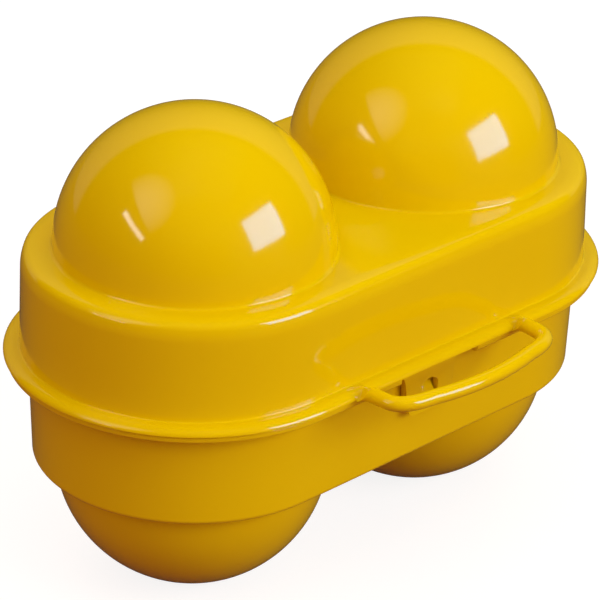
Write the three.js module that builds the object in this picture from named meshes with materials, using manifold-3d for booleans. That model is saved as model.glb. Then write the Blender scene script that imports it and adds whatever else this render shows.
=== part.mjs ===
// Two-egg camping box in glossy yellow polypropylene, millimetres, +Z up.
// A lid and a base of the same racetrack outline, each with two hollow domes, close on a flange all round.
// Behind, the lid turns on two pins. In front, a sprung tongue under the lid's flange snaps over a nub on the
// base wall, and a loop moulded into the same flange carries the box.
// The shells are drawn about the seam: z = 0 midway between the closed flanges, y = 0 through both cup centres.
import * as THREE from "three";
import { mergeVertices } from "three/addons/utils/BufferGeometryUtils.js";
import Module from "manifold-3d";

const wasm = await Module();
wasm.setup();

// Driving dimensions of both shells
const cupSpacing = 57.4; // between the two cup centres
const wall = 1.5;
const seamGap = 0.3; // between the closed flanges
const flangeRadius = 33.7; // racetrack radius of both flanges
const domeFillet = 1.2; // hollow fillet round the foot of each dome
const flangeFillet = 0.9; // where a flange meets its wall

// Lid
const lidHeight = 20.5; // seam to flat top
const lidWallRadius = 30.8; // at the flange
const lidDraft = 0.25; // the wall leans in by this much
const lidEdgeRound = 3.4;
const lidFlangeThickness = 1.5;
const lidFlangeRound = 0.9;
const lidDomeRadius = 25;
const lidDomeDrop = 0.5; // the sphere's centre lies this far under the flat top

// Base
const baseDepth = 20.6; // seam to flat underside
const baseDraft = 0.6;
const baseEdgeRound = 1;
const baseFlangeThickness = 1.4;
const baseFlangeRound = 0.4;
const baseDomeRadius = 24.8;
const baseDomeDrop = 0;
const footCut = 0.9; // each lower dome is cut flat here, so that the box stands
const spigotHeight = 2.5; // the base's rim stands up inside the lid
const spigotChamfer = 0.5;
const fitClearance = 0.3; // between pieces that nest or slide

// Carry loop
const loopRod = 2.8;
const loopHalfWidth = 21.2; // middle of each leg at the flange
const loopNarrowing = 0.7; // each leg leans in by this much
const loopReach = 10.7; // flange edge to the middle of the front bar
const loopFlat = 0.2; // the rod's underside is cut flush with the flange, this far up
const loopLegReach = 5.4; // flange edge to where the corner begins
const loopCornerWidth = 7; // corner's length along the bar
const loopBow = 1.1; // the bar's middle stands proud of its ends
const loopRootFlare = 0.5; // each leg is this much wider all round at the flange's edge
const loopRootLength = 2.6;

// Latch tongue and the nub it snaps over
const tongueThickness = 1.3;
const tongueLength = 10.6; // below the seam
const tongueTopHalfWidth = 8.6;
const tongueNeckHalfWidth = 5.8;
const tongueNeckDrop = 6; // the flare ends this far below the seam
const tongueTipHalfWidth = 5.5;
const tongueCornerRound = 1.4;
const tongueLipHeight = 2.2;
const tongueLipFlare = 1.2;
const windowHalfWidth = 2.05;
const windowTop = 5.7; // below the seam
const nubHeight = 2.6; // along the wall
const nubReach = 1.3; // proud of the wall
const nubLand = 0.7; // flat band at the nub's lower edge
const notchSide = 0.9; // air beside the tongue, in the base flange
const notchRound = 2.2;

// Hinge
const hingeSpacing = 36; // between the two stations
const pinRadius = 1;
const pinBoreClearance = 0.2;
const barrelRadius = 2.3;
const lidKnuckleWidth = 6;
const baseKnuckleWidth = 3;
const pinInset = 0.25; // the pin's ends lie this far inside the outer knuckles

// Fineness of round stretches, and how far cuts and joins run over
const turnSteps = 36;
const domeSteps = 8;
const filletSteps = 2;
const edgeSteps = 4;
const rodSides = 10;
const rodSteps = 30;
const curveSteps = 6;
const barrelSides = 20;
const overrun = 2;
const grid = 1e-3; // corners are rounded to this, so that flush faces are exactly flush

// Values worked out from the ones above
const halfGap = seamGap / 2;
const lidInnerRadius = lidWallRadius - wall;
const lidTopRadius = lidWallRadius - lidDraft;
const baseWallRadius = lidInnerRadius; // the base wall lies under the lid's inner face
const baseFloorRadius = baseWallRadius - baseDraft;
const baseInnerRadius = baseWallRadius - wall;
const spigotRadius = lidInnerRadius - fitClearance;
const lidFlangeTop = halfGap + lidFlangeThickness;
const baseFlangeUnderside = -halfGap - baseFlangeThickness;
const footHeight = baseDomeRadius - baseDomeDrop - footCut; // flat underside to foot
const footLevel = -baseDepth - footHeight;
const loopLevel = halfGap + loopRod / 2 - loopFlat;
const loopSink = flangeRadius - lidWallRadius + wall / 2; // the legs cross the flange and start in the wall
const hingeY = flangeRadius + barrelRadius + fitClearance;
const boreRadius = pinRadius + pinBoreClearance;
const tongueInnerY = -baseWallRadius - fitClearance;
const tongueOuterY = tongueInnerY - tongueThickness;
const windowSill = windowTop + fitClearance + nubHeight + fitClearance;
const loopFrontY = -flangeRadius - loopReach;

const yellow = new THREE.MeshStandardMaterial({ color: 0xf2b800, roughness: 0.22, metalness: 0 });
const steel = new THREE.MeshStandardMaterial({ color: 0xb9bcc0, roughness: 0.3, metalness: 1 });

const point = (x, y) => new THREE.Vector2(x, y);

// Points of an arc about (x, y), from one angle to another in radians, both ends included.
function arc(x, y, radius, from, to, steps) {
  return Array.from({ length: steps + 1 }, (_, i) => {
    const angle = from + ((to - from) * i) / steps;
    return point(x + radius * Math.cos(angle), y + radius * Math.sin(angle));
  });
}

// A closed geometry as a solid that can be joined and cut.
function solid(geometry) {
  const bare = new THREE.BufferGeometry().setAttribute("position", geometry.getAttribute("position"));
  if (geometry.index) bare.setIndex(geometry.index);
  bare.attributes.position.array.forEach((value, i, all) => {
    all[i] = Math.round(value / grid) * grid;
  });
  const { index, attributes } = mergeVertices(bare, grid / 2);
  const corners = Array.from(index.array);
  const triVerts = [];
  for (let i = 0; i < corners.length; i += 3) {
    const [a, b, c] = corners.slice(i, i + 3);
    if (a !== b && b !== c && c !== a) triVerts.push(a, b, c);
  }
  return new wasm.Manifold(
    new wasm.Mesh({
      numProp: 3,
      vertProperties: new Float32Array(attributes.position.array),
      triVerts: new Uint32Array(triVerts),
    }),
  );
}

const join = (...parts) => parts.reduce((whole, part) => whole.add(part));

function meshOf(name, shape, material) {
  const { numProp, numVert, vertProperties, triVerts } = shape.getMesh();
  const places = new Float32Array(numVert * 3);
  for (let i = 0; i < numVert; i++) {
    places.set(vertProperties.subarray(i * numProp, i * numProp + 3), i * 3);
  }
  const geometry = new THREE.BufferGeometry();
  geometry.setAttribute("position", new THREE.BufferAttribute(places, 3));
  geometry.setIndex(new THREE.BufferAttribute(triVerts, 1));
  geometry.computeVertexNormals();
  const mesh = new THREE.Mesh(geometry, material);
  mesh.name = name;
  return mesh;
}

// Turns a profile of (radius, height) about the vertical through (x, 0).
function turned(profile, x) {
  const geometry = new THREE.LatheGeometry(profile, turnSteps);
  geometry.rotateX(Math.PI / 2);
  geometry.translate(x, 0, 0);
  return solid(geometry);
}

// A flat outline in (y, z), drawn out along x and centred on the given x.
function acrossX(shape, width, x = 0) {
  const geometry = new THREE.ExtrudeGeometry(shape, {
    depth: width,
    bevelEnabled: false,
    curveSegments: curveSteps,
  });
  geometry.translate(0, 0, -width / 2);
  geometry.applyMatrix4(
    new THREE.Matrix4().makeBasis(
      new THREE.Vector3(0, 1, 0),
      new THREE.Vector3(0, 0, 1),
      new THREE.Vector3(1, 0, 0),
    ),
  );
  geometry.translate(x, 0, 0);
  return solid(geometry);
}

// A profile of (radius, height) swept round the racetrack: a half turn about each cup and straight sides.
function racetrack(profile) {
  const mirrored = profile.filter((p) => p.x > 0).map((p) => point(-p.x, p.y));
  const section = new THREE.Shape([...profile, ...mirrored.reverse()]);
  return join(
    turned(profile, -cupSpacing / 2),
    acrossX(section, cupSpacing),
    turned(profile, cupSpacing / 2),
  );
}

// Profile of a dome on a flat at height 0, with a hollow fillet at its foot and, if asked, a flat crown.
function domeProfile(radius, drop, fillet, crown) {
  const reach = radius + fillet;
  const tilt = Math.asin((fillet + drop) / reach);
  const filletRadius = reach * Math.cos(tilt);
  const top = crown === undefined ? Math.PI / 2 : Math.asin((crown + drop) / radius);
  const sphere = arc(0, -drop, radius, tilt, top, domeSteps);
  const crownHeight = sphere.at(-1).y;
  return [
    point(0, -overrun),
    point(filletRadius, -overrun),
    ...arc(filletRadius, fillet, fillet, -Math.PI / 2, tilt - Math.PI, filletSteps),
    ...sphere.slice(1, crown === undefined ? -1 : undefined),
    point(0, crownHeight),
  ];
}

const raised = (profile, height) => profile.map((p) => point(p.x, p.y + height));
const turnedOver = (profile) => profile.map((p) => point(p.x, -p.y)).reverse();

function bothCups(profile) {
  return join(turned(profile, -cupSpacing / 2), turned(profile, cupSpacing / 2));
}

// Lid: racetrack tray with a soft top edge, two domes and the flange.
function lidBody() {
  const edge = lidTopRadius - lidEdgeRound;
  const skin = racetrack([
    point(0, halfGap),
    point(flangeRadius, halfGap),
    ...arc(
      flangeRadius - lidFlangeRound,
      lidFlangeTop - lidFlangeRound,
      lidFlangeRound,
      0,
      Math.PI / 2,
      edgeSteps,
    ),
    ...arc(
      lidWallRadius + flangeFillet,
      lidFlangeTop + flangeFillet,
      flangeFillet,
      -Math.PI / 2,
      -Math.PI,
      filletSteps,
    ),
    ...arc(edge, lidHeight - lidEdgeRound, lidEdgeRound, 0, Math.PI / 2, edgeSteps),
    point(0, lidHeight),
  ]);
  const hollow = racetrack([
    point(0, halfGap - overrun),
    point(lidInnerRadius, halfGap - overrun),
    point(lidInnerRadius, halfGap),
    ...arc(edge, lidHeight - lidEdgeRound, lidEdgeRound - wall, 0, Math.PI / 2, edgeSteps),
    point(0, lidHeight - wall),
  ]);
  const domes = bothCups(raised(domeProfile(lidDomeRadius, lidDomeDrop, domeFillet), lidHeight));
  const domeHollows = bothCups(
    raised(domeProfile(lidDomeRadius - wall, lidDomeDrop - wall, domeFillet + wall), lidHeight - wall),
  );
  return join(skin, domes).subtract(join(hollow, domeHollows));
}

// Base: racetrack tray with two footed domes under it, the flange, and a rim that stands up inside the lid.
function baseBody() {
  const edge = baseFloorRadius - baseEdgeRound;
  const skin = racetrack([
    point(0, -baseDepth),
    ...arc(edge, baseEdgeRound - baseDepth, baseEdgeRound, -Math.PI / 2, 0, edgeSteps),
    ...arc(
      baseWallRadius + flangeFillet,
      baseFlangeUnderside - flangeFillet,
      flangeFillet,
      Math.PI,
      Math.PI / 2,
      filletSteps,
    ),
    ...arc(
      flangeRadius - baseFlangeRound,
      baseFlangeUnderside + baseFlangeRound,
      baseFlangeRound,
      -Math.PI / 2,
      0,
      filletSteps,
    ),
    point(flangeRadius, -halfGap),
    point(spigotRadius, -halfGap),
    point(spigotRadius, spigotHeight - spigotChamfer),
    point(spigotRadius - spigotChamfer, spigotHeight),
    point(0, spigotHeight),
  ]);
  const innerFloorRadius = baseFloorRadius - wall;
  const hollow = racetrack([
    point(0, wall - baseDepth),
    point(innerFloorRadius, wall - baseDepth),
    point(baseInnerRadius, -halfGap),
    point(baseInnerRadius, spigotHeight + overrun),
    point(0, spigotHeight + overrun),
  ]);
  const dome = domeProfile(baseDomeRadius, baseDomeDrop, domeFillet, footHeight);
  const domeHollow = domeProfile(
    baseDomeRadius - wall,
    baseDomeDrop - wall,
    domeFillet + wall,
    footHeight,
  );
  const domes = bothCups(raised(turnedOver(dome), -baseDepth));
  const domeHollows = bothCups(raised(turnedOver(domeHollow), wall - baseDepth));
  return join(skin, domes).subtract(join(hollow, domeHollows));
}

// Carry loop: a round rod along a flat path that leaves the lid's flange, turns and crosses in front.
function carryLoop() {
  const rootY = loopSink - flangeRadius;
  const legX = loopHalfWidth - loopNarrowing;
  const legY = -flangeRadius - loopLegReach;
  const barX = legX - loopCornerWidth;
  const barY = loopFrontY + loopBow;
  const at = (x, y) => new THREE.Vector3(x, y, loopLevel);
  const path = new THREE.CurvePath();
  path.add(new THREE.LineCurve3(at(-loopHalfWidth, rootY), at(-legX, legY)));
  path.add(new THREE.QuadraticBezierCurve3(at(-legX, legY), at(-legX, barY + loopBow / 2), at(-barX, barY)));
  path.add(new THREE.QuadraticBezierCurve3(at(-barX, barY), at(0, loopFrontY - loopBow), at(barX, barY)));
  path.add(new THREE.QuadraticBezierCurve3(at(barX, barY), at(legX, barY + loopBow / 2), at(legX, legY)));
  path.add(new THREE.LineCurve3(at(legX, legY), at(loopHalfWidth, rootY)));
  const section = new THREE.Shape().absarc(0, 0, loopRod / 2, 0, 2 * Math.PI);
  const rod = solid(
    new THREE.ExtrudeGeometry(section, {
      steps: rodSteps,
      extrudePath: path,
      curveSegments: rodSides / 2,
    }),
  );
  const flares = [-1, 1].map((side) => loopRoot(side * loopHalfWidth));
  const below = new THREE.BoxGeometry(cupSpacing, flangeRadius, loopRod);
  below.translate(0, -flangeRadius, halfGap - loopRod / 2);
  return join(rod, ...flares).subtract(solid(below));
}

// The widening of a leg about the flange's edge.
function loopRoot(x) {
  const radius = loopRod / 2;
  const wide = radius + loopRootFlare;
  const profile = [
    point(0, -loopSink),
    point(radius, -loopSink),
    point(wide, 0),
    point(radius + loopRootFlare / 3, loopRootLength / 3),
    point(radius, loopRootLength),
    point(0, loopRootLength),
  ];
  const geometry = new THREE.LatheGeometry(profile, 2 * rodSides);
  geometry.rotateX(Math.PI);
  geometry.translate(x, -flangeRadius, loopLevel);
  return solid(geometry);
}

// One hinge knuckle: a bored barrel on the hinge axis and the arm that ties it to a flange.
function knuckle(x, width, low, high) {
  const outline = new THREE.Shape().absarc(hingeY, 0, barrelRadius, 0, 2 * Math.PI);
  const arm = new THREE.Shape([
    point(flangeRadius - overrun, low),
    point(hingeY, low),
    point(hingeY, high),
    point(flangeRadius - overrun, high),
  ]);
  const bore = new THREE.CylinderGeometry(boreRadius, boreRadius, width + 2 * overrun, barrelSides);
  bore.rotateZ(Math.PI / 2);
  bore.translate(x, hingeY, 0);
  return join(acrossX(outline, width, x), acrossX(arm, width, x)).subtract(solid(bore));
}

const stations = [-hingeSpacing / 2, hingeSpacing / 2];
const outerKnuckleOffset = lidKnuckleWidth / 2 + fitClearance + baseKnuckleWidth / 2;

function lidKnuckles() {
  return stations.map((x) => knuckle(x, lidKnuckleWidth, halfGap, lidFlangeTop));
}

function baseKnuckles() {
  const places = stations.flatMap((x) => [x - outerKnuckleOffset, x + outerKnuckleOffset]);
  return places.map((x) => knuckle(x, baseKnuckleWidth, baseFlangeUnderside, -halfGap));
}

function hingePin(name, x) {
  const length = 2 * (outerKnuckleOffset + baseKnuckleWidth / 2 - pinInset);
  const geometry = new THREE.CylinderGeometry(pinRadius, pinRadius, length, barrelSides);
  geometry.rotateZ(Math.PI / 2);
  const pin = new THREE.Mesh(geometry, steel);
  pin.name = name;
  pin.position.set(x, hingeY, 0);
  return pin;
}

// Catch nub on the base wall: a ramp that the tongue rides over, square underneath to hold it.
function nub() {
  const top = -windowTop - fitClearance;
  const bottom = top - nubHeight;
  const inside = wall / 2 - baseWallRadius;
  const front = -baseWallRadius - nubReach;
  const side = new THREE.Shape([
    point(inside, top),
    point(inside, bottom),
    point(front, bottom),
    point(front, bottom + nubLand),
    point(-baseWallRadius, top),
  ]);
  return acrossX(side, 2 * (windowHalfWidth - fitClearance));
}

// The gap in the base's flange that the tongue hangs through.
function flangeNotch() {
  const half = tongueTopHalfWidth + notchSide;
  const inner = -baseWallRadius;
  const outer = -flangeRadius;
  const plan = new THREE.Shape();
  plan.moveTo(-half - notchRound, outer - overrun);
  plan.lineTo(half + notchRound, outer - overrun);
  plan.lineTo(half + notchRound, outer);
  plan.quadraticCurveTo(half, outer, half, outer + notchRound);
  plan.quadraticCurveTo(half, inner, half - notchRound, inner);
  plan.lineTo(notchRound - half, inner);
  plan.quadraticCurveTo(-half, inner, -half, outer + notchRound);
  plan.quadraticCurveTo(-half, outer, -half - notchRound, outer);
  const height = baseFlangeThickness + flangeFillet + halfGap;
  const geometry = new THREE.ExtrudeGeometry(plan, {
    depth: height,
    bevelEnabled: false,
    curveSegments: curveSteps,
  });
  geometry.translate(0, 0, -height);
  return solid(geometry);
}

// Latch tongue: a thin sprung plate with a window, its front outline cut from a bent side profile.
function tongue() {
  const side = new THREE.Shape([
    point(tongueInnerY, -halfGap),
    point(tongueOuterY, -halfGap),
    point(tongueOuterY, tongueLipHeight - tongueLength),
    point(tongueOuterY - tongueLipFlare, -tongueLength),
    point(tongueInnerY - tongueLipFlare, -tongueLength),
    point(tongueInnerY, tongueLipHeight - tongueLength),
  ]);
  const cornerTop = tongueCornerRound - tongueLength;
  const flatHalf = tongueTipHalfWidth - tongueCornerRound;
  const front = new THREE.Shape();
  front.moveTo(-tongueTopHalfWidth, -halfGap);
  front.quadraticCurveTo(-tongueNeckHalfWidth, -tongueNeckDrop / 2, -tongueNeckHalfWidth, -tongueNeckDrop);
  front.lineTo(-tongueTipHalfWidth, cornerTop);
  front.quadraticCurveTo(-tongueTipHalfWidth, -tongueLength, -flatHalf, -tongueLength);
  front.lineTo(flatHalf, -tongueLength);
  front.quadraticCurveTo(tongueTipHalfWidth, -tongueLength, tongueTipHalfWidth, cornerTop);
  front.lineTo(tongueNeckHalfWidth, -tongueNeckDrop);
  front.quadraticCurveTo(tongueNeckHalfWidth, -tongueNeckDrop / 2, tongueTopHalfWidth, -halfGap);
  const opening = new THREE.Path();
  opening.moveTo(-windowHalfWidth, -windowSill);
  opening.lineTo(-windowHalfWidth, -windowTop);
  opening.quadraticCurveTo(0, -windowTop + windowHalfWidth, windowHalfWidth, -windowTop);
  opening.lineTo(windowHalfWidth, -windowSill);
  front.holes.push(opening);
  const depth = tongueThickness + tongueLipFlare + 2 * overrun;
  const plate = new THREE.ExtrudeGeometry(front, {
    depth,
    bevelEnabled: false,
    curveSegments: curveSteps,
  });
  plate.rotateX(Math.PI / 2);
  plate.translate(0, tongueInnerY + overrun, 0);
  return acrossX(side, 2 * tongueTopHalfWidth + overrun).intersect(solid(plate));
}

// Assembly: the seam is raised so that the feet stand at z = 0, and the depth is centred on y = 0.
const backY = hingeY + barrelRadius;
const frontY = loopFrontY - loopRod / 2;
const lid = new THREE.Group();
lid.add(meshOf("lid_shell", join(lidBody(), carryLoop(), ...lidKnuckles()), yellow));
lid.add(meshOf("latch_tongue", tongue(), yellow));
const base = new THREE.Group();
base.add(meshOf("base_shell", join(baseBody().subtract(flangeNotch()), nub(), ...baseKnuckles()), yellow));
base.add(hingePin("hinge_pin_left", stations[0]));
base.add(hingePin("hinge_pin_right", stations[1]));

const eggBox = new THREE.Group();
eggBox.add(base, lid);
eggBox.position.set(0, -(backY + frontY) / 2, -footLevel);

export default eggBox;
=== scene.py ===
import math

import bmesh
import bpy
from mathutils import Matrix, Vector


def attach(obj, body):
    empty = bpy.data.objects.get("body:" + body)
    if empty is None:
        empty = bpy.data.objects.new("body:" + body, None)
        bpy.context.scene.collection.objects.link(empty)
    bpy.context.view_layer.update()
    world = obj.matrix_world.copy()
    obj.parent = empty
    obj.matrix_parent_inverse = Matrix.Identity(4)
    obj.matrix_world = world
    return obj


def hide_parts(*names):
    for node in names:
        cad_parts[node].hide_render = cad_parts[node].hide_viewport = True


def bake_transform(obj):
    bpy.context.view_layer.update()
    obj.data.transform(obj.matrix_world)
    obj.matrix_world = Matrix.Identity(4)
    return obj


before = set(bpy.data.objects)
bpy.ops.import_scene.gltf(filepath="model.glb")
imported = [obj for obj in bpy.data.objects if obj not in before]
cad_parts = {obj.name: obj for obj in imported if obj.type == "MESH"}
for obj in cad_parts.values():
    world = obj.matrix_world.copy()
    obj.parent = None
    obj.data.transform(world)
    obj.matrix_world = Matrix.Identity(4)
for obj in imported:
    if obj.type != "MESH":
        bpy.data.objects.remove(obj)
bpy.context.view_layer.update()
scene = bpy.context.scene
scene.view_settings.view_transform = "Standard"
print("frame loaded")

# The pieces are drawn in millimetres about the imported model's seam, with y = 0 through both cup
# centres. This puts them into that model, which stands on z = 0.
seam = {"depth": 3.6, "height": 44.5}
toModel = Matrix.Scale(0.001, 4) @ Matrix.Translation((0, seam["depth"], seam["height"]))


# camera
cameraValues = {
    "azimuth": -45.135,
    "elevation": 26.903,
    "roll": 1.644,
    "distance": 665.55,
    "focalLength": 219.19,
    "sensorWidth": 36,
    "aimRight": -1.635,
    "aimUp": -0.885,
    "clip": (0.05, 20),  # metres
}


# right, up and back of the camera, as directions of the model
def cameraAxes(values):
    azimuth, elevation, roll = (math.radians(values[key]) for key in ("azimuth", "elevation", "roll"))
    back = Vector((
        math.sin(azimuth) * math.cos(elevation),
        -math.cos(azimuth) * math.cos(elevation),
        math.sin(elevation),
    ))
    level = Vector((math.cos(azimuth), math.sin(azimuth), 0))
    right = level * math.cos(roll) + back.cross(level) * math.sin(roll)
    return right, back.cross(right), back


def makeCamera(values):
    right, up, back = cameraAxes(values)
    place = right * values["aimRight"] + up * values["aimUp"] + back * values["distance"]
    turned = Matrix((right, up, back)).transposed().to_4x4()
    camera = bpy.data.objects.new("photoCamera", bpy.data.cameras.new("photoCamera"))
    camera.data.sensor_width = values["sensorWidth"]
    camera.data.lens = values["focalLength"]
    camera.data.clip_start, camera.data.clip_end = values["clip"]
    camera.matrix_world = Matrix.Translation(toModel @ place) @ turned
    scene.collection.objects.link(camera)
    scene.camera = camera


makeCamera(cameraValues)
print("camera placed")


# materials
def srgb(code):
    parts = (int(code[i : i + 2], 16) / 255 for i in (1, 3, 5))
    return tuple(c / 12.92 if c <= 0.04045 else ((c + 0.055) / 1.055) ** 2.4 for c in parts) + (1,)


# a node with its settings, by input name or number or else by property, and its links
def addNode(tree, kind, settings=None, links=None):
    node = tree.nodes.new(kind)
    for key, value in (settings or {}).items():
        if isinstance(key, int) or key in node.inputs:
            node.inputs[key].default_value = value
        else:
            setattr(node, key, value)
    for key, output in (links or {}).items():
        tree.links.new(output, node.inputs[key])
    return node


def newMaterial(name):
    material = bpy.data.materials.new(name)
    material.use_nodes = True
    material.node_tree.nodes.clear()
    return material, material.node_tree


# Polypropylene, injection-moulded in a polished tool: a wet-looking gloss over a slightly
# wavy skin, where the melt has drawn in, and a colour that is a touch deeper in places.
plasticValues = {
    "colour": "#EFD200",
    "deeperColour": "#EBCA00",
    "driftMm": 22,
    "ior": 1.49,
    "roughness": (0.06, 0.11),
    "roughnessPatchMm": 9,
    "patchSpan": (0.3, 0.7),  # the part of the noise's range that the roughness follows
    "waveMm": 5.0,
    "waveHeightMm": 0.012,
    "grainMm": 0.45,  # finer in truth, drawn as coarse as it needs to show
    "grainHeightMm": 0.0009,
}


def makePolypropylene(values):
    material, tree = newMaterial("polypropyleneYellow")
    place = addNode(tree, "ShaderNodeTexCoord").outputs["Object"]
    drift = addNode(
        tree, "ShaderNodeTexNoise", {"Scale": 1000 / values["driftMm"], "Detail": 2}, {"Vector": place}
    )
    colour = addNode(
        tree,
        "ShaderNodeMix",
        {"data_type": "RGBA", 6: srgb(values["colour"]), 7: srgb(values["deeperColour"])},
        {0: drift.outputs["Fac"]},
    )
    patches = addNode(
        tree,
        "ShaderNodeTexNoise",
        {"Scale": 1000 / values["roughnessPatchMm"], "Detail": 4},
        {"Vector": place},
    )
    fromLow, fromHigh = values["patchSpan"]
    low, high = values["roughness"]
    roughness = addNode(
        tree,
        "ShaderNodeMapRange",
        {"From Min": fromLow, "From Max": fromHigh, "To Min": low, "To Max": high},
        {"Value": patches.outputs["Fac"]},
    )
    grain = addNode(
        tree, "ShaderNodeTexNoise", {"Scale": 1000 / values["grainMm"], "Detail": 2}, {"Vector": place}
    )
    fine = addNode(
        tree,
        "ShaderNodeBump",
        {"Strength": 1, "Distance": values["grainHeightMm"] / 1000},
        {"Height": grain.outputs["Fac"]},
    )
    wave = addNode(
        tree, "ShaderNodeTexNoise", {"Scale": 1000 / values["waveMm"], "Detail": 1}, {"Vector": place}
    )
    skin = addNode(
        tree,
        "ShaderNodeBump",
        {"Strength": 1, "Distance": values["waveHeightMm"] / 1000},
        {"Height": wave.outputs["Fac"], "Normal": fine.outputs["Normal"]},
    )
    shader = addNode(
        tree,
        "ShaderNodeBsdfPrincipled",
        {"IOR": values["ior"]},
        {
            "Base Color": colour.outputs[2],
            "Roughness": roughness.outputs["Result"],
            "Normal": skin.outputs["Normal"],
        },
    )
    addNode(tree, "ShaderNodeOutputMaterial", links={"Surface": shader.outputs["BSDF"]})
    return material


# Drawn steel wire: a bright grey metal with fine draw lines along it.
steelValues = {
    "colour": "#B9BABC",
    "roughness": (0.22, 0.38),
    "lineMm": 0.25,
    "lineLengthMm": 12,
    "lineHeightMm": 0.004,
}


def makeSteel(values):
    material, tree = newMaterial("drawnSteelWire")
    place = addNode(tree, "ShaderNodeTexCoord").outputs["Object"]
    across, along = 1000 / values["lineMm"], 1000 / values["lineLengthMm"]
    stretched = addNode(tree, "ShaderNodeMapping", {"Scale": (along, across, across)}, {"Vector": place})
    lines = addNode(
        tree, "ShaderNodeTexNoise", {"Scale": 1, "Detail": 3}, {"Vector": stretched.outputs["Vector"]}
    )
    low, high = values["roughness"]
    roughness = addNode(
        tree, "ShaderNodeMapRange", {"To Min": low, "To Max": high}, {"Value": lines.outputs["Fac"]}
    )
    bump = addNode(
        tree,
        "ShaderNodeBump",
        {"Strength": 1, "Distance": values["lineHeightMm"] / 1000},
        {"Height": lines.outputs["Fac"]},
    )
    shader = addNode(
        tree,
        "ShaderNodeBsdfPrincipled",
        {"Base Color": srgb(values["colour"]), "Metallic": 1},
        {"Roughness": roughness.outputs["Result"], "Normal": bump.outputs["Normal"]},
    )
    addNode(tree, "ShaderNodeOutputMaterial", links={"Surface": shader.outputs["BSDF"]})
    return material


polypropylene = makePolypropylene(plasticValues)
drawnSteel = makeSteel(steelValues)
print("materials made")


# shared modelling steps
mergeDistance = 0.0005  # mm, closes seams and poles


def vertsIn(result):
    return [item for item in result if isinstance(item, bmesh.types.BMVert)]


def edgesIn(result):
    return [item for item in result if isinstance(item, bmesh.types.BMEdge)]


def withVerts(edges):
    return edges + list(dict.fromkeys(vert for edge in edges for vert in edge.verts))


# points (across, up) of an arc, angles in degrees
def arc(across, up, radius, start, end, steps):
    angles = (math.radians(start + (end - start) * i / steps) for i in range(steps + 1))
    return [(across + radius * math.cos(a), up + radius * math.sin(a)) for a in angles]


# points of a curve that leaves the start towards the control point and comes from there to the end
def bend(start, control, end, steps):
    shares = [i / steps for i in range(steps + 1)]
    return [
        tuple(a * (1 - t) ** 2 + 2 * c * t * (1 - t) + b * t**2 for a, c, b in zip(start, control, end))
        for t in shares
    ]


# arcs of (radius, start, end) that run on from one another
def rollOver(across, up, arcs, steps):
    points = [(across, up)]
    for radius, start, end in arcs:
        turn = math.radians(start)
        across, up = points[-1]
        centre = across - radius * math.cos(turn), up - radius * math.sin(turn)
        points += arc(*centre, radius, start, end, steps)[1:]
    return points


def chain(bm, points, closed=False):
    verts = [bm.verts.new(point) for point in points]
    pairs = list(zip(verts, verts[1:])) + ([(verts[-1], verts[0])] if closed else [])
    return [bm.edges.new(pair) for pair in pairs]


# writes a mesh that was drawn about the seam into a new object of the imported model
def makePiece(bm, name, material, sharpAngle=35):
    bmesh.ops.remove_doubles(bm, verts=bm.verts, dist=mergeDistance)
    bmesh.ops.recalc_face_normals(bm, faces=bm.faces)
    bmesh.ops.transform(bm, matrix=toModel, verts=bm.verts)
    mesh = bpy.data.meshes.new(name)
    bm.to_mesh(mesh)
    bm.free()
    mesh.materials.append(material)
    piece = bpy.data.objects.new(name, mesh)
    scene.collection.objects.link(piece)
    smoothPiece(piece, sharpAngle)
    return piece


def smoothPiece(piece, sharpAngle=35):
    piece.data.shade_smooth()
    piece.data.set_sharp_from_angle(angle=math.radians(sharpAngle))


# fixes the result of the piece's modifiers as its mesh
def settle(piece):
    bpy.context.view_layer.update()
    evaluated = piece.evaluated_get(bpy.context.evaluated_depsgraph_get())
    shaped = bpy.data.meshes.new_from_object(evaluated)
    piece.modifiers.clear()
    piece.data = shaped
    smoothPiece(piece)


def cutWith(piece, tool, operation):
    modifier = piece.modifiers.new("cut", "BOOLEAN")
    modifier.operation = operation
    modifier.solver = "EXACT"
    modifier.object = tool
    settle(piece)
    bpy.data.objects.remove(tool)


def softenEdges(piece, width, angle=40, segments=3):
    modifier = piece.modifiers.new("soften", "BEVEL")
    modifier.width = width / 1000
    modifier.segments = segments
    modifier.limit_method = "ANGLE"
    modifier.angle_limit = math.radians(angle)
    modifier.use_clamp_overlap = True
    settle(piece)


# ties a piece to its body and hides the imported nodes that it stands for
def joinCad(piece, body, nodes=()):
    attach(piece, body)
    if nodes:
        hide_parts(*nodes)


# the two shells
# Both are a profile of (radius, height) swept round a racetrack: a half turn about each cup,
# straight sides between. The outer and the inner skin meet at the rim, so each shell is one
# closed wall.
shellValues = {
    "cupSpacing": 57.4,
    "wall": 1.5,
    "flangeRadius": 33.7,
    "edgeRound": 0.25,
    "domeFillet": 0.6,
    "flangeFillet": 0.3,
    "turnSteps": 72,  # steps of a half turn, and below of the smaller rounds
    "domeSteps": 36,
    "filletSteps": 8,
    "cornerSteps": 5,
    "edgeSteps": 4,
    "aside": 0.15,  # an extra ring this far from each curve keeps the flat beside it flat
}
lidValues = {
    "height": 19.4,
    "wallRadius": 30.8,
    "draft": 0.25,
    "shoulder": (7.0, 0, 20),  # radius and angles of each arc that the wall rolls over with
    "edgeRound": (1.7, 20, 76),
    "crown": (8.0, 76, 90),
    "flangeTop": 0.9,
    "flangeUnder": -0.55,
    "flangeRound": (2.0, 1.3),  # across and down
    "flangeSteps": 12,
    "rollSteps": 9,
    "domeRadius": 25,
    "domeCentre": 20,
}
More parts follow.
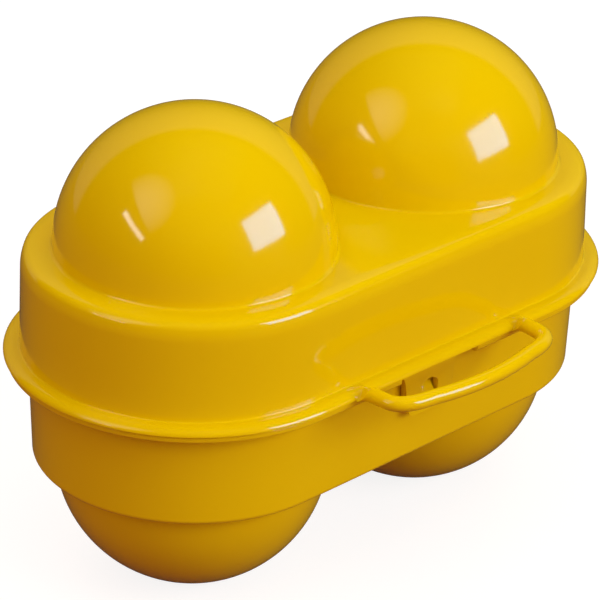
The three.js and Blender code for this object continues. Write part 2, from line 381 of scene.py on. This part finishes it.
baseValues = {
    "depth": 20.6,
    "draft": 0.6,
    "edgeRound": 1.0,
    "innerRound": 0.8,
    "innerSteps": 6,
    "flangeTop": -0.65,
    "flangeUnder": -1.85,
    "flangeInset": 0.5,
    "flangeRound": 0.4,
    "domeRadius": 24.8,
    "footCut": 0.9,
    "footRound": 1.5,
    "rimHeight": 2.5,
    "rimRound": 0.5,
    "rimEdge": 0.2,
    "clearance": 0.3,
}
lidInnerRadius = lidValues["wallRadius"] - shellValues["wall"]
baseWallRadius = lidInnerRadius
halfSpacing = shellValues["cupSpacing"] / 2


# turns the profile halfway about each cup, each time followed by a straight run
def sweepTrack(bm, profile):
    edges = chain(bm, [(halfSpacing, -radius, height) for radius, height in profile])
    for centre in (halfSpacing, -halfSpacing):
        turned = bmesh.ops.spin(
            bm,
            geom=withVerts(edges),
            cent=(centre, 0, 0),
            axis=(0, 0, 1),
            angle=math.pi,
            steps=shellValues["turnSteps"],
        )
        drawn = bmesh.ops.extrude_edge_only(bm, edges=edgesIn(turned["geom_last"]))["geom"]
        far = set(vertsIn(drawn))
        bmesh.ops.translate(bm, verts=list(far), vec=(-2 * centre, 0, 0))
        edges = [edge for edge in edgesIn(drawn) if far.issuperset(edge.verts)]


def spinDomes(bm, profile):
    for centre in (-halfSpacing, halfSpacing):
        edges = chain(bm, [(centre, -radius, height) for radius, height in profile])
        bmesh.ops.spin(
            bm,
            geom=withVerts(edges),
            cent=(centre, 0, 0),
            axis=(0, 0, 1),
            angle=2 * math.pi,
            steps=2 * shellValues["turnSteps"],
            use_merge=True,
        )


# foot fillet and sphere of a dome that stands on a flat at the given height
def domeProfile(flat, centre, radius, fillet, top=90):
    rise = flat + fillet - centre
    tilt = math.degrees(math.asin(rise / (radius + fillet)))
    foot = (radius + fillet) * math.cos(math.radians(tilt))
    return [
        (foot + shellValues["aside"], flat),
        *arc(foot, flat + fillet, fillet, -90, tilt - 180, shellValues["filletSteps"]),
        *arc(0, centre, radius, tilt, top, shellValues["domeSteps"])[1:],
    ]


def turnedOver(profile):
    return [(radius, -height) for radius, height in profile]


# the flat faces between the track's edge and the two domes, one for each level
def closeFlats(bm):
    bmesh.ops.remove_doubles(bm, verts=bm.verts, dist=mergeDistance)
    levels = {}
    for edge in bm.edges:
        if edge.is_boundary:
            levels.setdefault(round(edge.verts[0].co.z, 2), []).append(edge)
    for level in sorted(levels):
        bmesh.ops.triangle_fill(bm, use_beauty=True, use_dissolve=False, edges=levels[level])


def lidSkins(shell, lid):
    aside, wall, fillet = shell["aside"], shell["wall"], shell["flangeFillet"]
    flange, edge, edgeSteps = shell["flangeRadius"], shell["edgeRound"], shell["edgeSteps"]
    under, flangeTop, top = lid["flangeUnder"], lid["flangeTop"], lid["height"]
    across, down = lid["flangeRound"]
    quarter = arc(0, 0, 1, 0, 90, lid["flangeSteps"])
    wallRadius, topRadius = lid["wallRadius"], lid["wallRadius"] - lid["draft"]
    roll = [lid["shoulder"], lid["edgeRound"], lid["crown"]]
    innerRoll = [(radius - wall, *turns) for radius, *turns in roll]
    rollStart = top - rollOver(0, 0, roll, lid["rollSteps"])[-1][1]
    over = rollOver(topRadius, rollStart, roll, lid["rollSteps"])
    beneath = rollOver(topRadius - wall, rollStart, innerRoll, lid["rollSteps"])
    underEdge = lidInnerRadius + edge
    outer = [
        (underEdge, under),
        *arc(flange - edge, under + edge, edge, -90, 0, edgeSteps),
        *((flange - across + across * x, flangeTop - down + down * z) for x, z in quarter),
        *arc(wallRadius + fillet, flangeTop + fillet, fillet, -90, -180, shell["filletSteps"]),
        (wallRadius, flangeTop + fillet + aside),
        (topRadius, rollStart - aside),
        *over,
        (over[-1][0] - aside, top),
    ]
    inner = [
        *arc(underEdge, under + edge, edge, -90, -180, edgeSteps),
        (lidInnerRadius, under + edge + aside),
        (topRadius - wall, rollStart - aside),
        *beneath,
        (beneath[-1][0] - aside, top - wall),
    ]
    return outer, inner


def makeLid(shell, lid):
    bm = bmesh.new()
    for profile in lidSkins(shell, lid):
        sweepTrack(bm, profile)
    height, centre, radius = lid["height"], lid["domeCentre"], lid["domeRadius"]
    fillet, wall = shell["domeFillet"], shell["wall"]
    spinDomes(bm, domeProfile(height, centre, radius, fillet))
    spinDomes(bm, domeProfile(height - wall, centre, radius - wall, fillet + wall))
    closeFlats(bm)
    return makePiece(bm, "lidShell", polypropylene)


lidShell = makeLid(shellValues, lidValues)
joinCad(lidShell, "lid", ["lid_shell"])
print("lid modelled")


def baseSkins(shell, base):
    aside, wall, fillet = shell["aside"], shell["wall"], shell["flangeFillet"]
    flange, edge = shell["flangeRadius"] - base["flangeInset"], shell["edgeRound"]
    edgeSteps, cornerSteps, filletSteps = shell["edgeSteps"], shell["cornerSteps"], shell["filletSteps"]
    face, underside, corner = base["flangeTop"], base["flangeUnder"], base["flangeRound"]
    rimRadius, innerRadius = lidInnerRadius - base["clearance"], baseWallRadius - wall
    rimTop, rimRound, rimEdge = base["rimHeight"], base["rimRound"], base["rimEdge"]
    floorRadius, depth = baseWallRadius - base["draft"], base["depth"]
    innerFloor, floorLevel = floorRadius - wall, wall - depth
    outerRound, innerRound = base["edgeRound"], base["innerRound"]
    outer = [
        (innerRadius + rimEdge, rimTop),
        *arc(rimRadius - rimRound, rimTop - rimRound, rimRound, 90, 0, cornerSteps),
        (rimRadius, face),
        *arc(flange - edge, face - edge, edge, 90, 0, edgeSteps),
        *arc(flange - corner, underside + corner, corner, 0, -90, cornerSteps),
        *arc(baseWallRadius + fillet, underside - fillet, fillet, 90, 180, filletSteps),
        (baseWallRadius, underside - fillet - aside),
        (floorRadius, outerRound + aside - depth),
        *arc(floorRadius - outerRound, outerRound - depth, outerRound, 0, -90, filletSteps),
        (floorRadius - outerRound - aside, -depth),
    ]
    inner = [
        *arc(innerRadius + rimEdge, rimTop - rimEdge, rimEdge, 90, 180, edgeSteps),
        (innerRadius, rimTop - rimEdge - aside),
        (innerRadius, face),
        (innerFloor, floorLevel + innerRound + aside),
        *arc(innerFloor - innerRound, floorLevel + innerRound, innerRound, 0, -90, base["innerSteps"]),
        (innerFloor - innerRound - aside / 2, floorLevel),
    ]
    return outer, inner


# a lower dome with its flat foot, drawn as if it stood upwards
def footedDome(flat, centre, radius, fillet, foot, footRound):
    rise = foot - footRound - centre
    footRadius = math.sqrt((radius - footRound) ** 2 - rise**2)
    top = math.degrees(math.atan2(rise, footRadius))
    profile = domeProfile(flat, centre, radius, fillet, top)
    if footRound > 0:
        profile += arc(footRadius, foot - footRound, footRound, top, 90, shellValues["cornerSteps"])[1:]
    return profile + [(footRadius - shellValues["aside"], foot), (0, foot)]


def makeBase(shell, base):
    bm = bmesh.new()
    for profile in baseSkins(shell, base):
        sweepTrack(bm, profile)
    depth, radius = base["depth"], base["domeRadius"]
    fillet, wall = shell["domeFillet"], shell["wall"]
    foot = depth + radius - base["footCut"]
    outer = footedDome(depth, depth, radius, fillet, foot, base["footRound"])
    inner = footedDome(depth - wall, depth, radius - wall, fillet + wall, foot - wall, 0)
    for profile in (outer, inner):
        spinDomes(bm, turnedOver(profile))
    closeFlats(bm)
    return makePiece(bm, "baseShell", polypropylene)


# the cut-away in the base's flange that the latch hangs through
notchValues = {"halfWidth": 9.15, "round": 2.2, "roundSteps": 8, "over": 2.0}


def makeNotchTool(values):
    inner, outer = -baseWallRadius, -shellValues["flangeRadius"]
    half, turn, steps = values["halfWidth"], values["round"], values["roundSteps"]
    side = [
        (half + turn, outer - values["over"]),
        *bend((half + turn, outer), (half, outer), (half, outer + turn), steps),
        *bend((half, outer + turn), (half, inner), (half - turn, inner), steps)[1:],
    ]
    plan = side + [(-x, y) for x, y in reversed(side)]
    bm = bmesh.new()
    floor = baseValues["flangeUnder"] - shellValues["flangeFillet"]
    edges = chain(bm, [(x, y, floor) for x, y in plan], closed=True)
    face = bmesh.ops.contextual_create(bm, geom=edges)["faces"]
    raised = bmesh.ops.extrude_face_region(bm, geom=face)["geom"]
    bmesh.ops.translate(bm, verts=vertsIn(raised), vec=(0, 0, -floor))
    return makePiece(bm, "notchTool", polypropylene)


baseShell = makeBase(shellValues, baseValues)
cutWith(baseShell, makeNotchTool(notchValues), "DIFFERENCE")
joinCad(baseShell, "base", ["base_shell"])
print("base modelled")


# carry loop: rings along the path, joined
# Each leg crosses the flange to the lid's wall as a low ridge, which runs out into the flange at
# both sides, and turns into the round rod in front of the flange's edge.
loopValues = {
    "halfWidth": 20.2,
    "narrowing": 0.7,  # of each leg on its way to the corner
    "reach": 11.0,
    "legReach": 5.0,
    "cornerWidth": 7.4,
    "bow": 1.5,  # of the bar in front
    "width": 2.9,
    "bottom": -0.55,
    "top": 2.15,
    "ridgeWidth": 7.0,
    "ridgeRise": 0.8,
    "flare": 1.7,  # how late the leg widens into the ridge
    "keel": 0.1,
    "rootFillet": 2.0,  # over this length in front of the flange the ridge turns into the rod
    "hidden": 0.05,  # the ridge's borders lie this deep under the flange's surface
    "ringSides": 36,
    "legSteps": 44,
    "cornerSteps": 12,
    "barSteps": 28,
    "sharpAngle": 60,
}


def loopPath(values):
    rootY = shellValues["wall"] / 2 - lidValues["wallRadius"]
    edgeY = -shellValues["flangeRadius"]
    legX, legY = values["halfWidth"] - values["narrowing"], edgeY - values["legReach"]
    frontY = edgeY - values["reach"]
    barX, barY = legX - values["cornerWidth"], frontY + values["bow"]
    root, leg, bar = (values["halfWidth"], rootY), (legX, legY), (barX, barY)
    steps = values["legSteps"]
    line = [tuple(a + (b - a) * i / steps for a, b in zip(root, leg)) for i in range(steps + 1)]
    corner = bend(leg, (legX, barY + values["bow"] / 2), bar, values["cornerSteps"])
    middle = bend(bar, (0, frontY - values["bow"]), (-barX, barY), values["barSteps"])
    right = line[:-1] + corner[:-1]
    return right + middle + [(-x, y) for x, y in reversed(right)]


def smoothShare(value):
    t = min(max(value, 0), 1)
    return t * t * (3 - 2 * t)


# height of the flange's surface at a distance in front of its edge, or behind it where negative
def flangeSurface(out):
    across, down = lidValues["flangeRound"]
    past = min(max(out / across + 1, 0), 1)
    return lidValues["flangeTop"] - down + down * math.sqrt(1 - past**2)


# (across, up) of a ring: a ridge that rises out of the flange and turns into the round rod in
# front of it
def loopSection(values, out):
    flangeWidth = shellValues["flangeRadius"] - lidValues["wallRadius"]
    share = smoothShare(out / values["rootFillet"])
    rodHalf, ridgeHalf = values["width"] / 2, values["ridgeWidth"] / 2
    near = min(max((values["rootFillet"] - out) / (values["rootFillet"] + flangeWidth), 0), 1)
    half = rodHalf + (ridgeHalf - rodHalf) * near ** values["flare"]
    base = flangeSurface(out) - values["hidden"]
    crest = lidValues["flangeTop"] + values["ridgeRise"] * smoothShare(out / flangeWidth + 1)
    middle, radius = (values["top"] + values["bottom"]) / 2, (values["top"] - values["bottom"]) / 2
    section = []
    for i in range(values["ringSides"]):
        angle = 2 * math.pi * i / values["ringSides"]
        across, up = math.cos(angle), math.sin(angle)
        bell = (0.5 + 0.5 * math.cos(math.pi * across)) * (crest - base)
        ridge = base + (bell if up >= 0 else up * values["keel"])
        rod = middle + radius * up
        section.append((half * across, ridge * (1 - share) + rod * share))
    return section


def makeLoop(values):
    bm = bmesh.new()
    path = loopPath(values)
    rings = []
    for i, (x, y) in enumerate(path):
        before, after = path[max(i - 1, 0)], path[min(i + 1, len(path) - 1)]
        along = Vector((after[0] - before[0], after[1] - before[1], 0)).normalized()
        section = loopSection(values, -shellValues["flangeRadius"] - y)
        ring = [(x - along.y * across, y + along.x * across, up) for across, up in section]
        rings.append(chain(bm, ring, closed=True))
    for first, second in zip(rings, rings[1:]):
        bmesh.ops.bridge_loops(bm, edges=first + second)
    for end in (rings[0], rings[-1]):
        bmesh.ops.contextual_create(bm, geom=end)
    return makePiece(bm, "carryLoop", polypropylene, values["sharpAngle"])


joinCad(makeLoop(loopValues), "lid")
print("carry loop modelled")


# latch tongue: a bent side outline, cut by the outline that shows from the front
tongueValues = {
    "thickness": 1.3,
    "length": 10.6,
    "topHalfWidth": 8.7,
    "neckHalfWidth": 6.0,
    "neckDrop": 6.0,
    "tipHalfWidth": 5.5,
    "cornerRound": 1.4,
    "lipHeight": 2.6,
    "lipFlare": 0.45,
    "rootFillet": 0.8,
    "rootTop": 0.2,  # just inside the lid's flange, so that no joint shows
    "windowHalfWidth": 2.05,
    "windowTop": 5.7,
    "windowSill": 8.9,
    "edge": 0.28,
    "filletSteps": 6,
    "lipSteps": 8,
    "flankSteps": 14,
    "tipSteps": 10,
    "windowSteps": 12,
    "blankOver": 1,  # the bent blank is this much wider on each side than the finished tongue
    "cutOver": 3,  # the cutter reaches this far past the blank, in front and behind
    "bendOut": 1,  # the root bends this far in front of the base's wall, between these heights
    "bendFrom": 0.2,
    "bendTo": -2.2,
}


# a closed prism from flat loops, where an inner loop leaves a hole
def drawnPrism(bm, loops, direction):
    edges = [edge for loop in loops for edge in chain(bm, loop, closed=True)]
    bmesh.ops.triangle_fill(bm, use_beauty=True, use_dissolve=True, edges=edges)
    moved = bmesh.ops.extrude_face_region(bm, geom=bm.faces[:])["geom"]
    bmesh.ops.translate(bm, verts=vertsIn(moved), vec=direction)


def makeTongue(values):
    inner = -baseWallRadius - baseValues["clearance"]
    outer = inner - values["thickness"]
    bottom, flare = -values["length"], values["lipFlare"]
    lipStart, root = bottom + values["lipHeight"], values["rootTop"]
    lipMiddle = lipStart - values["lipHeight"] / 2
    fillet, lipSteps = values["rootFillet"], values["lipSteps"]
    side = [
        (inner, root),
        *arc(outer - fillet, root - fillet, fillet, 90, 0, values["filletSteps"]),
        *bend((outer, lipStart), (outer, lipMiddle), (outer - flare, bottom), lipSteps),
        *bend((inner - flare, bottom), (inner, lipMiddle), (inner, lipStart), lipSteps),
    ]
    bm = bmesh.new()
    blankHalf = values["topHalfWidth"] + values["blankOver"]
    drawnPrism(bm, [[(-blankHalf, y, z) for y, z in side]], (2 * blankHalf, 0, 0))
    tongue = makePiece(bm, "latchTongue", polypropylene)

    top, neck, tip = values["topHalfWidth"], values["neckHalfWidth"], values["tipHalfWidth"]
    drop, turn = -values["neckDrop"], values["cornerRound"]
    half = [
        *bend((top, root), (neck, drop / 2), (neck, drop), values["flankSteps"]),
        *bend((tip, bottom + turn), (tip, bottom), (tip - turn, bottom), values["tipSteps"]),
    ]
    outline = half + [(-x, z) for x, z in reversed(half)]
    wide, sill, arch = values["windowHalfWidth"], -values["windowSill"], -values["windowTop"]
    windowArch = bend((-wide, arch), (0, arch + wide), (wide, arch), values["windowSteps"])
    window = [(-wide, sill), *windowArch, (wide, sill)]
    back, front = inner + values["cutOver"], outer - flare - values["cutOver"]
    bm = bmesh.new()
    drawnPrism(bm, [[(x, back, z) for x, z in loop] for loop in (outline, window)], (0, front - back, 0))
    cutWith(tongue, makePiece(bm, "tongueTool", polypropylene), "INTERSECT")
    softenEdges(tongue, values["edge"])
    return tongue


latchTongue = makeTongue(tongueValues)
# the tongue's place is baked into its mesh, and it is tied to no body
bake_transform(latchTongue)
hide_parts("latch_tongue")
print("latch tongue modelled")


# catch nub: a ramp on the base wall
nubValues = {
    "halfWidth": 1.75,
    "top": 6.0,
    "height": 2.6,
    "reach": 1.3,
    "land": 0.7,
    "sink": 0.6,
    "rampSink": 0.05,  # the ramp comes out of the wall from this deep
    "edge": 0.25,
    "edgeAngle": 20,
}


def makeNub(values):
    wallY = -baseWallRadius
    top, bottom = -values["top"], -values["top"] - values["height"]
    side = [
        (wallY + values["sink"], top),
        (wallY + values["sink"], bottom),
        (wallY - values["reach"], bottom),
        (wallY - values["reach"], bottom + values["land"]),
        (wallY + values["rampSink"], top),
    ]
    bm = bmesh.new()
    half = values["halfWidth"]
    drawnPrism(bm, [[(-half, y, z) for y, z in side]], (2 * half, 0, 0))
    nub = makePiece(bm, "catchNub", polypropylene)
    softenEdges(nub, values["edge"], values["edgeAngle"])
    return nub


joinCad(makeNub(nubValues), "base")
print("catch nub modelled")


# hinge: bored knuckles on both flanges, and a pin through each station
hingeValues = {
    "spacing": 36.0,
    "barrelRadius": 2.3,
    "boreRadius": 1.2,
    "lidWidth": 6.0,
    "baseWidth": 3.0,
    "clearance": 0.3,
    "armSink": 1.2,
    "armEdge": 0.25,
    "barrelSides": 48,
    "pinRadius": 1.0,
    "pinSides": 40,
    "pinInset": 0.25,
    "pinEdge": 0.18,
}
hingeY = shellValues["flangeRadius"] + hingeValues["barrelRadius"] + hingeValues["clearance"]


# one knuckle: an arm as thick as its flange, which runs into a bored barrel
def addKnuckle(bm, values, x, width, low, high):
    radius, sides = values["barrelRadius"], values["barrelSides"]
    start = shellValues["flangeRadius"] - values["armSink"]
    lowTurn = math.degrees(math.asin(low / radius))
    highTurn = math.degrees(math.asin(high / radius))
    barrel = arc(hingeY, 0, radius, -180 - lowTurn, 180 - highTurn, sides)
    outline = [(start, low), *barrel, (start, high)]
    bore = arc(hingeY, 0, values["boreRadius"], 0, 360, sides)[:-1]
    part = bmesh.new()
    left = x - width / 2
    drawnPrism(part, [[(left, y, z) for y, z in loop] for loop in (outline, bore)], (width, 0, 0))
    bmesh.ops.recalc_face_normals(part, faces=part.faces)
    mesh = bpy.data.meshes.new("knuckle")
    part.to_mesh(mesh)
    part.free()
    bm.from_mesh(mesh)
    bpy.data.meshes.remove(mesh)


def makeKnuckles(name, values, offsets, width, shell):
    bm = bmesh.new()
    for station in (-values["spacing"] / 2, values["spacing"] / 2):
        for offset in offsets:
            addKnuckle(bm, values, station + offset, width, shell["flangeUnder"], shell["flangeTop"])
    knuckles = makePiece(bm, name, polypropylene)
    softenEdges(knuckles, values["armEdge"])
    return knuckles


def makePin(name, values, x, length):
    bm = bmesh.new()
    turn = Matrix.Translation((x, hingeY, 0)) @ Matrix.Rotation(math.pi / 2, 4, "Y")
    radius = values["pinRadius"]
    bmesh.ops.create_cone(
        bm,
        cap_ends=True,
        segments=values["pinSides"],
        radius1=radius,
        radius2=radius,
        depth=length,
        matrix=turn,
    )
    rims = [edge for edge in bm.edges if any(len(face.verts) > 4 for face in edge.link_faces)]
    bmesh.ops.bevel(
        bm, geom=rims, offset=values["pinEdge"], segments=3, profile=0.5, affect="EDGES", material=-1
    )
    return makePiece(bm, name, drawnSteel)


lidWidth, baseWidth = hingeValues["lidWidth"], hingeValues["baseWidth"]
outerOffset = lidWidth / 2 + hingeValues["clearance"] + baseWidth / 2
baseOffsets = (-outerOffset, outerOffset)
joinCad(makeKnuckles("lidKnuckles", hingeValues, (0,), lidWidth, lidValues), "lid")
joinCad(makeKnuckles("baseKnuckles", hingeValues, baseOffsets, baseWidth, baseValues), "base")
pinLength = 2 * (outerOffset + baseWidth / 2 - hingeValues["pinInset"])
pins = ((-1, "hingePinLeft", "hinge_pin_left"), (1, "hingePinRight", "hinge_pin_right"))
for side, name, node in pins:
    pin = makePin(name, hingeValues, side * hingeValues["spacing"] / 2, pinLength)
    joinCad(pin, "base", [node])
print("hinge modelled")


# floor, world and lamps
# Directions are shares of the camera's right, up and back.
stageValues = {
    "floorSize": 6.0,  # metres
    "floorDrop": 0.0001,  # just under the feet, so that the two faces don't lie in one plane
    "floorColour": "#898989",
    "floorInGloss": "#2E2E2E",
    "floorBounce": "#9C5C28",  # what the object gets back from below
    "floorGlow": 0.86,
    "worldFill": 0.2,
    "fillColour": "#FFDDB8",
    "backdropSide": (0, 0.26, -0.97),
    "backdropFrom": (0.42, 0.50, 0.97),  # cosines to that side: where it starts, is brightest and ends
    "backdropLevel": (0.30, 0.02),
    "dimLevel": 0.03,
    "glowSide": (-0.60, 0.47, 0.65),
    "glowFrom": 0.91,
    "glowLevel": 1.5,
    "glowEdge": (0.71, 0.55, 0.44),  # the umbrella's near edge, square to this side
    "glowEdgeBlur": 0.03,
}
lampDistance = 0.9  # metres
# Each lamp is a panel of a width and height in degrees, as the object sees it. The soft fill
# panels stay out of the gloss, which mirrors the softbox and the strip alone.
softbox = {"side": (0.82, 0.18, 0.54), "spread": (32, 24)}
lampValues = [
    {"name": "rightSoftbox", **softbox, "radiance": 4.4},
    {
        "name": "softboxShine",  # the same softbox as the gloss shows it, just in front of it
        **softbox,
        "radiance": 11.8,
        "colour": "#6CB8FF",
        "distance": 0.85,
        "inGloss": True,
        "inFill": False,
    },
    {
        "name": "leftStrip",
        "side": (-0.733, 0.19, 0.651),
        "spread": (3.5, 26),
        "turn": 67,
        "radiance": 8.0,
        "inGloss": True,
    },
    {"name": "overheadPanel", "side": (0, 0.89, 0.45), "spread": (60, 60), "radiance": 0.9},
    {
        "name": "frontPanel",
        "side": (0, 0.38, 0.92),
        "spread": (50, 50),
        "radiance": 0.74,
        "colour": "#FFF0E0",
    },
    {
        "name": "leftPanel",
        "side": (-0.75, 0.30, 0.60),
        "spread": (50, 50),
        "radiance": 0.55,
        "colour": "#FFA078",
    },
    {
        "name": "lowPanel",
        "side": (0.80, -0.10, 0.60),
        "spread": (50, 50),
        "radiance": 1.35,
        "colour": "#FFE6CD",
    },
    {
        "name": "backPanel",
        "side": (0, 0.80, -0.60),
        "spread": (50, 50),
        "radiance": 1.4,
        "colour": "#FFEBD6",
    },
]


def sideOf(shares):
    axes = cameraAxes(cameraValues)
    return sum((axis * share for axis, share in zip(axes, shares)), Vector()).normalized()


# 1 for what the camera sees, and the given strength for reflections
def seenLevel(tree, inGloss):
    path = addNode(tree, "ShaderNodeLightPath")
    gloss = addNode(
        tree, "ShaderNodeMath", {"operation": "MULTIPLY"}, {0: path.outputs["Is Glossy Ray"], 1: inGloss}
    )
    both = addNode(
        tree,
        "ShaderNodeMath",
        {"operation": "ADD"},
        {0: path.outputs["Is Camera Ray"], 1: path.outputs["Is Transmission Ray"]},
    )
    return addNode(
        tree, "ShaderNodeMath", {"operation": "ADD"}, {0: both.outputs[0], 1: gloss.outputs[0]}
    ).outputs[0]


# brightness that runs from one level to another as a ray turns towards the given side, between
# two cosines to it
def levelTowards(tree, shares, cosines, levels):
    ray = addNode(tree, "ShaderNodeTexCoord").outputs["Generated"]
    nearness = addNode(
        tree, "ShaderNodeVectorMath", {"operation": "DOT_PRODUCT", 1: sideOf(shares)}, {0: ray}
    )
    return addNode(
        tree,
        "ShaderNodeMapRange",
        {"From Min": cosines[0], "From Max": cosines[1], "To Min": levels[0], "To Max": levels[1]},
        {"Value": nearness.outputs["Value"]},
    ).outputs["Result"]


def makeFloor(values):
    material, tree = newMaterial("paleFloor")
    path = addNode(tree, "ShaderNodeLightPath")
    colour = addNode(
        tree,
        "ShaderNodeMix",
        {"data_type": "RGBA", 6: srgb(values["floorColour"]), 7: srgb(values["floorInGloss"])},
        {0: path.outputs["Is Glossy Ray"]},
    )
    bounced = addNode(
        tree,
        "ShaderNodeMix",
        {"data_type": "RGBA", 7: srgb(values["floorBounce"])},
        {0: path.outputs["Is Diffuse Ray"], 6: colour.outputs[2]},
    )
    diffuse = addNode(tree, "ShaderNodeBsdfDiffuse", links={"Color": bounced.outputs[2]})
    dim = addNode(tree, "ShaderNodeValue")
    dim.outputs[0].default_value = values["dimLevel"]
    strength = addNode(
        tree,
        "ShaderNodeMath",
        {"operation": "MULTIPLY", 1: values["floorGlow"]},
        {0: seenLevel(tree, dim.outputs[0])},
    )
    glow = addNode(
        tree, "ShaderNodeEmission", {"Color": (1, 1, 1, 1)}, {"Strength": strength.outputs[0]}
    )
    both = addNode(tree, "ShaderNodeAddShader", links={0: diffuse.outputs[0], 1: glow.outputs[0]})
    addNode(tree, "ShaderNodeOutputMaterial", links={"Surface": both.outputs[0]})
    bm = bmesh.new()
    bmesh.ops.create_grid(bm, x_segments=1, y_segments=1, size=values["floorSize"] / 2)
    bmesh.ops.translate(bm, verts=bm.verts, vec=(0, 0, -values["floorDrop"]))
    mesh = bpy.data.meshes.new("floor")
    bm.to_mesh(mesh)
    bm.free()
    mesh.materials.append(material)
    floor = bpy.data.objects.new("floor", mesh)
    scene.collection.objects.link(floor)


# White for the camera. The gloss sees a dark studio, a dim backdrop behind the object that is
# brightest along its edge, and the glow of an umbrella on the left.
def makeWorld(values):
    world = bpy.data.worlds.new("studio")
    world.use_nodes = True
    scene.world = world
    tree = world.node_tree
    tree.nodes.clear()
    behind = values["backdropSide"]
    first, edge, last = values["backdropFrom"]
    rise = levelTowards(tree, behind, (first, edge), (values["dimLevel"], 1))
    fall = levelTowards(tree, behind, (edge, last), values["backdropLevel"])
    backdrop = addNode(tree, "ShaderNodeMath", {"operation": "MULTIPLY"}, {0: rise, 1: fall})
    glow = levelTowards(tree, values["glowSide"], (values["glowFrom"], 1), (0, values["glowLevel"]))
    inside = levelTowards(tree, values["glowEdge"], (0, values["glowEdgeBlur"]), (0, 1))
    umbrella = addNode(tree, "ShaderNodeMath", {"operation": "MULTIPLY"}, {0: glow, 1: inside})
    inGloss = addNode(
        tree, "ShaderNodeMath", {"operation": "ADD"}, {0: backdrop.outputs[0], 1: umbrella.outputs[0]}
    )
    path = addNode(tree, "ShaderNodeLightPath")
    fillLevel = addNode(
        tree,
        "ShaderNodeMath",
        {"operation": "MULTIPLY", 1: values["worldFill"]},
        {0: path.outputs["Is Diffuse Ray"]},
    )
    fill = addNode(
        tree,
        "ShaderNodeBackground",
        {"Color": srgb(values["fillColour"])},
        {"Strength": fillLevel.outputs[0]},
    )
    shown = addNode(
        tree,
        "ShaderNodeBackground",
        {"Color": (1, 1, 1, 1)},
        {"Strength": seenLevel(tree, inGloss.outputs[0])},
    )
    both = addNode(tree, "ShaderNodeAddShader", links={0: fill.outputs[0], 1: shown.outputs[0]})
    addNode(tree, "ShaderNodeOutputWorld", links={"Surface": both.outputs[0]})


def makeLamp(lamp):
    away = sideOf(lamp["side"])
    distance = lamp.get("distance", lampDistance)
    light = bpy.data.lights.new(lamp["name"], "AREA")
    light.shape = "RECTANGLE"
    halfAngles = (math.radians(spread / 2) for spread in lamp["spread"])
    light.size, light.size_y = (2 * distance * math.tan(angle) for angle in halfAngles)
    light.energy = lamp["radiance"] * math.pi * light.size * light.size_y
    light.color = srgb(lamp.get("colour", "#FFFFFF"))[:3]
    panel = bpy.data.objects.new(lamp["name"], light)
    facing = away.to_track_quat("Z", "Y").to_matrix().to_4x4()
    turned = facing @ Matrix.Rotation(math.radians(lamp.get("turn", 0)), 4, "Z")
    panel.matrix_world = Matrix.Translation(toModel @ (away * distance * 1000)) @ turned
    panel.visible_glossy = lamp.get("inGloss", False)
    panel.visible_diffuse = lamp.get("inFill", True)
    scene.collection.objects.link(panel)


makeFloor(stageValues)
makeWorld(stageValues)
for lamp in lampValues:
    makeLamp(lamp)
print("stage and lamps placed")
